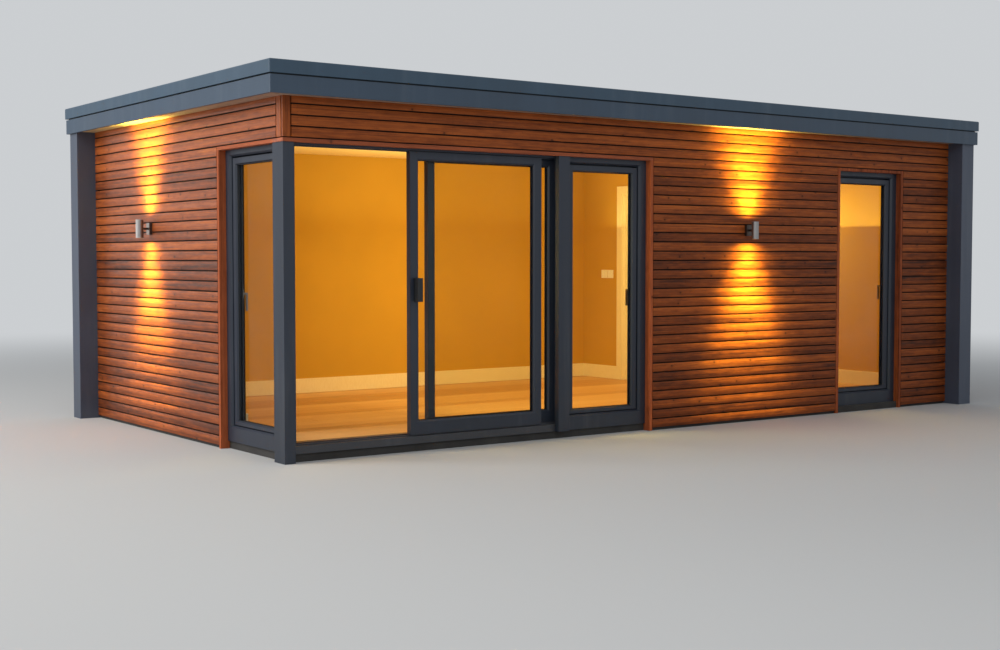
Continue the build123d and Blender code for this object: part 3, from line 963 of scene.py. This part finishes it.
def lamp_lenses():
    """The lit discs inside the two ends of each lamp tube."""
    form = bmesh.new()
    for x, y, low, high in lamp_axes():
        for z in (low + LENS_INSET, high - LENS_INSET):
            disc = bmesh.ops.create_cone(
                form,
                cap_ends=True,
                segments=LENS_SIDES,
                radius1=LENS_RADIUS,
                radius2=LENS_RADIUS,
                depth=LENS_THICKNESS,
            )
            bmesh.ops.translate(form, vec=(x, y, z), verts=disc["verts"])
    piece("lamp_lenses", made("lamp_lenses", form), "pod", lamp_glow())


def switch_rockers():
    """Two rockers on each switch plate."""
    plastic = moulded("switch_white", (250, 248, 242), 0.3)
    form = bmesh.new()
    for low, high in islands("light_switches"):
        z = (low.z + high.z) / 2
        for aside in (-ROCKER_ASIDE, ROCKER_ASIDE):
            y = (low.y + high.y) / 2 + aside
            a = (low.x - ROCKER_PROUD, y - ROCKER_HALF_WIDTH, z - ROCKER_HALF_HEIGHT)
            b = (low.x + ROCKER_SUNK, y + ROCKER_HALF_WIDTH, z + ROCKER_HALF_HEIGHT)
            add_block(form, a, b, ROCKER_EDGE)
    piece("switch_rockers", made("switch_rockers", form), "pod", plastic)
    paint_nodes(plastic, "light_switches")


def floor_planks():
    """Planks of the floor, laid along the front, with staggered ends."""
    low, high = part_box("floor_boards")
    form = bmesh.new()
    row = 0
    y = low.y
    while y < high.y - NARROWEST_PLANK:
        far = min(high.y, y + PLANK_WIDTH)
        x = low.x
        step = PLANK_LENGTH * (FIRST_PLANK + FIRST_PLANK_STEP * (row % 3))
        while x < high.x - SHORTEST_PLANK:
            end = min(high.x, x + step)
            corner = (end - PLANK_GAP, far - PLANK_GAP, high.z)
            add_block(form, (x, y, low.z), corner, PLANK_EDGE, 1)
            x = end
            step = PLANK_LENGTH
        y = far
        row += 1
    mesh = made("floor_planks", form)
    planks = piece("floor_planks", mesh, "pod", floor_timber())
    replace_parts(planks, "floor_boards")


def soffit_boards():
    """Two boards under each side of the roof's overhang."""
    low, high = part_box("soffit")
    wall_low, wall_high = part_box("floor_slab")
    near_y = wall_low.y + SOFFIT_UNDER_WALL
    far_y = wall_high.y - SOFFIT_UNDER_WALL
    near_x = wall_low.x + SOFFIT_UNDER_WALL
    far_x = wall_high.x - SOFFIT_UNDER_WALL
    gap = SOFFIT_GAP / 2
    long_form = bmesh.new()
    end_form = bmesh.new()
    for outer, inner in ((low.y, near_y), (high.y, far_y)):
        width = (inner - outer) / 2
        for i in range(2):
            y0, y1 = sorted((outer + i * width, outer + (i + 1) * width))
            a = (low.x, y0 + gap, low.z)
            b = (high.x, y1 - gap, high.z)
            add_block(long_form, a, b, SOFFIT_EDGE, 1)
    for outer, inner in ((low.x, near_x), (high.x, far_x)):
        width = (inner - outer) / 2
        for i in range(2):
            x0, x1 = sorted((outer + i * width, outer + (i + 1) * width))
            a = (x0 + gap, near_y, low.z)
            b = (x1 - gap, far_y, high.z)
            add_block(end_form, a, b, SOFFIT_EDGE, 1)
    along_x = timber("soffit_timber_x", "x", "y", SOFFIT)
    along_y = timber("soffit_timber_y", "y", "x", SOFFIT)
    name = "soffit_long_boards"
    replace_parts(piece(name, made(name, long_form), "pod", along_x), "soffit")
    name = "soffit_end_boards"
    piece(name, made(name, end_form), "pod", along_y)


def roof_laps(sheet):
    """Welded laps of the roof sheet, from front to back."""
    low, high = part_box("roof_deck")
    form = bmesh.new()
    count = round((high.x - low.x) / LAP_SPACING)
    step = (high.x - low.x) / count
    for i in range(1, count):
        x = low.x + i * step
        a = (x, low.y + LAP_FROM_EDGE, high.z - LAP_SUNK)
        b = (x + LAP_WIDTH, high.y - LAP_FROM_EDGE, high.z + LAP_HEIGHT)
        add_block(form, a, b, LAP_EDGE)
    piece("roof_laps", made("roof_laps", form), "pod", sheet)


def paint_nodes(material, *names):
    """Gives CAD nodes a finish."""
    for name in names:
        slots = nodes[name].data.materials
        slots.clear()
        slots.append(material)


def paint_frame():
    """Finishes of the CAD nodes that keep their own shape."""
    paint_nodes(
        coated("anthracite_coat", (42, 49, 62)),
        "corner_post",
        "mullion_cover",
        "door_head",
        "door_jambs",
        "fixed_sash",
        "sliding_sash",
        "window_frames",
        "window_sashes",
    )
    paint_nodes(coated("fin_coat", (72, 80, 96)), "end_fins", "back_right_corner_trim")
    paint_nodes(coated("fascia_coat", (55, 72, 90), 0.40), "fascia")
    paint_nodes(coated("edge_trim_coat", (52, 75, 94), 0.40), "roof_edge_trim")
    paint_nodes(coated("threshold_coat", (62, 64, 70), 0.36), "door_threshold")
    paint_nodes(coated("handle_coat", (26, 27, 30), 0.45), "sliding_handle")
    tubes = lamp_axes()
    # Levels past which the lamps' plates get painted shade.
    plates = ("x", tubes[0][0] + LAMP_TUBE), ("y", tubes[1][1] + LAMP_TUBE)
    drawn = (1400.0, 1400.0, 16.0)
    paint_nodes(brushed("lamp_steel", (172, 168, 166), drawn, 0.40, plates), "wall_lamps")
    paint_nodes(brushed("lever_steel", (150, 148, 144), drawn, 0.3), "window_handles")
    paint_nodes(clear_glass(), "window_glass", "fixed_glass", "sliding_glass")
    paint_nodes(
        wall_core(),
        "front_wall_head",
        "front_wall_middle",
        "front_wall_right",
        "left_wall_head",
        "left_wall",
        "back_wall",
        "right_wall",
    )
    paint_nodes(painted_plaster("partition_paint", WALL_PAINT_WARM_LIT), "partition_sides", "partition_head")
    paint_nodes(painted_plaster("ceiling_paint", CEILING_PAINT_WARM_LIT), "ceiling")
    paint_nodes(satin_joinery(), "door_casing", "skirting")
    paint_nodes(ground_base(), "floor_slab")
    upright = timber("lining_upright", "z", "x", LINING, specular=0.1)
    paint_nodes(upright, "jamb_linings", "narrow_window_lining")
    paint_nodes(timber("corner_upright", "z", "x", OILED), "corner_boards")
    paint_nodes(timber("lining_flat_x", "x", "y", LINING), "front_head_lining")
    paint_nodes(timber("lining_flat_y", "y", "x", LINING), "side_head_lining")
    sheet = membrane()
    paint_nodes(sheet, "roof_deck")
    roof_laps(sheet)


def pale_floor():
    """A plain pale floor that keeps the pod's shadow and ends in the background's own colour."""
    finish = Finish("stage_floor")
    near = finish.node("ShaderNodeBsdfDiffuse", values={"Color": STAGE_TINT})
    far = finish.node("ShaderNodeEmission", values={"Color": BACKGROUND, "Strength": 1.0})
    away = finish.node("ShaderNodeVectorMath", {"operation": "LENGTH"}, {0: finish.place()}, output=1)
    fade = {0: away, 1: STAGE_FADE[0], 2: STAGE_FADE[1]}
    share = finish.node("ShaderNodeMapRange", {"interpolation_type": "SMOOTHSTEP"}, fade)
    shader = finish.node("ShaderNodeMixShader", values={0: share, 1: near, 2: far})
    mesh = bpy.data.meshes.new("stage_floor")
    reach = STAGE_REACH
    corners = [(-reach, -reach, 0), (reach, -reach, 0), (reach, reach, 0), (-reach, reach, 0)]
    mesh.from_pydata(corners, [], [(0, 1, 2, 3)])
    mesh.materials.append(finish.done(shader))
    floor = bpy.data.objects.new("stage_floor", mesh)
    bpy.context.scene.collection.objects.link(floor)
    return floor


def light(name, kind, place, target, power, tint):
    """A light aimed at a point, out of the camera's sight."""
    data = bpy.data.lights.new(name, kind)
    data.energy = power
    data.color = tint
    holder = bpy.data.objects.new(name, data)
    bpy.context.scene.collection.objects.link(holder)
    holder.location = place
    aim = Vector(target) - Vector(place)
    holder.rotation_euler = aim.to_track_quat("-Z", "Y").to_euler()
    holder.visible_camera = False
    return holder


def soft_box(name, place, target, size, power, tint):
    """A broad soft light."""
    holder = light(name, "AREA", place, target, power, tint)
    holder.data.shape = "RECTANGLE"
    holder.data.size, holder.data.size_y = size
    return holder


def room_light(name, place, target, size, power):
    """A warm light inside that gloss doesn't show."""
    soft_box(name, place, target, size, power, WARM).visible_glossy = False


def room_lights():
    """Light down to the floor and up to the ceiling of both rooms, and one along the big room."""
    low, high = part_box("ceiling")
    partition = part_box("partition_head")
    y = (low.y + high.y) / 2
    for name, x0, x1, power in (
        ("room", low.x, partition[0].x, ROOM_POWER),
        ("small_room", partition[1].x, high.x, SMALL_ROOM_POWER),
    ):
        x = x0 + (x1 - x0) * ROOM_LIGHT_ALONG
        wide = (x1 - x0) * ROOM_LIGHT_WIDTH
        down = (x, y, DOWN_HEIGHT)
        room_light(name + "_down", down, (x, y, 0.0), (wide, DOWN_DEPTH), power * DOWN_SHARE)
        up = (x, y, UP_HEIGHT)
        room_light(name + "_up", up, (x, y, 3.0), (wide, UP_DEPTH), power * UP_SHARE)
    side = (low.x + SIDE_PLACE[0], low.y + SIDE_PLACE[1], SIDE_PLACE[2])
    target = (high.x, side[1] + 0.4, side[2] - 0.2)
    room_light("room_side", side, target, SIDE_SIZE, SIDE_POWER)


def all_but(name, left_out):
    """A light's list of receivers that leaves some objects out."""
    lit = bpy.data.collections.new(name)
    for thing in left_out:
        lit.objects.link(thing)
    for member in lit.collection_objects:
        member.light_linking.link_state = "EXCLUDE"
    return lit


def lamp_beams(floor):
    """Light out of both ends of each wall lamp, up and down the boards but not past them."""
    roof_metal = "fascia", "roof_edge_trim", "end_fins", "back_right_corner_trim"
    lit = all_but("lit_by_wall_lamps", (floor, *(nodes[name] for name in roof_metal)))
    for number, (x, y, low, high) in enumerate(lamp_axes()):
        outward = Vector((0.0, -1.0, 0.0)) if number else Vector((-1.0, 0.0, 0.0))
        for way, z in ((-1, low - BEAM_FROM_END), (1, high + BEAM_FROM_END)):
            end = Vector((x, y, z))
            reach = Vector((0.0, 0.0, way))
            for kind, out, power, spread, blend, lean in BEAMS:
                place = end + outward * out
                aim = place + reach - outward * lean
                name = "lamp_%d_%d_%s" % (number, way, kind)
                beam = light(name, "SPOT", place, aim, power, BEAM_TINT)
                beam.data.spot_size = math.radians(spread)
                beam.data.spot_blend = blend
                beam.data.shadow_soft_size = BEAM_SOURCE
                beam.visible_glossy = False
                beam.light_linking.receiver_collection = lit


def sky():
    """Even pale sky light, and a plain pale background for the camera, gloss and glass."""
    world = bpy.data.worlds.new("sky")
    bpy.context.scene.world = world
    world.use_nodes = True
    tree = world.node_tree
    tree.nodes.clear()
    path = tree.nodes.new("ShaderNodeLightPath")
    either = tree.nodes.new("ShaderNodeMath")
    either.operation = "ADD"
    seen = tree.nodes.new("ShaderNodeMath")
    seen.operation = "ADD"
    seen.use_clamp = True
    lit = tree.nodes.new("ShaderNodeBackground")
    lit.inputs["Color"].default_value = (*SKY_TINT, 1.0)
    lit.inputs["Strength"].default_value = SKY_STRENGTH
    shown = tree.nodes.new("ShaderNodeBackground")
    shown.inputs["Color"].default_value = (*BACKGROUND, 1.0)
    shown.inputs["Strength"].default_value = 1.0
    mix = tree.nodes.new("ShaderNodeMixShader")
    out = tree.nodes.new("ShaderNodeOutputWorld")
    tree.links.new(path.outputs["Is Camera Ray"], either.inputs[0])
    tree.links.new(path.outputs["Is Glossy Ray"], either.inputs[1])
    tree.links.new(either.outputs[0], seen.inputs[0])
    tree.links.new(path.outputs["Is Transmission Ray"], seen.inputs[1])
    tree.links.new(seen.outputs[0], mix.inputs[0])
    tree.links.new(lit.outputs[0], mix.inputs[1])
    tree.links.new(shown.outputs[0], mix.inputs[2])
    tree.links.new(mix.outputs[0], out.inputs["Surface"])


def lights(floor):
    """A broad key from the left, a weaker fill from the front and a sheen on the left boards."""
    soft_box("key", *KEY, DAY)
    soft_box("fill", *FILL, DAY)
    sheen = soft_box("sheen", *SHEEN, DAY)
    trim_and_glass = (
        "jamb_linings",
        "side_head_lining",
        "fascia",
        "roof_edge_trim",
        "end_fins",
        "back_right_corner_trim",
        "corner_post",
        "window_frames",
        "window_sashes",
        "window_glass",
    )
    left_out = (floor, *(nodes[name] for name in trim_and_glass))
    sheen.light_linking.receiver_collection = all_but("lit_by_sheen", left_out)
    room_lights()
    lamp_beams(floor)
    sky()


def camera():
    """The camera that took the photograph."""
    data = bpy.data.cameras.new("camera")
    data.sensor_width = SENSOR
    data.lens = LENS
    holder = bpy.data.objects.new("camera", data)
    bpy.context.scene.collection.objects.link(holder)
    holder.location = CAMERA_PLACE
    holder.rotation_euler = (math.radians(90 + CAMERA_PITCH), 0.0, math.radians(CAMERA_TURN))
    bpy.context.scene.camera = holder


paint_frame()
cladding()
seals()
lamp_lenses()
switch_rockers()
floor_planks()
soffit_boards()
lights(pale_floor())
camera()
bpy.context.scene.view_settings.view_transform = "Standard"
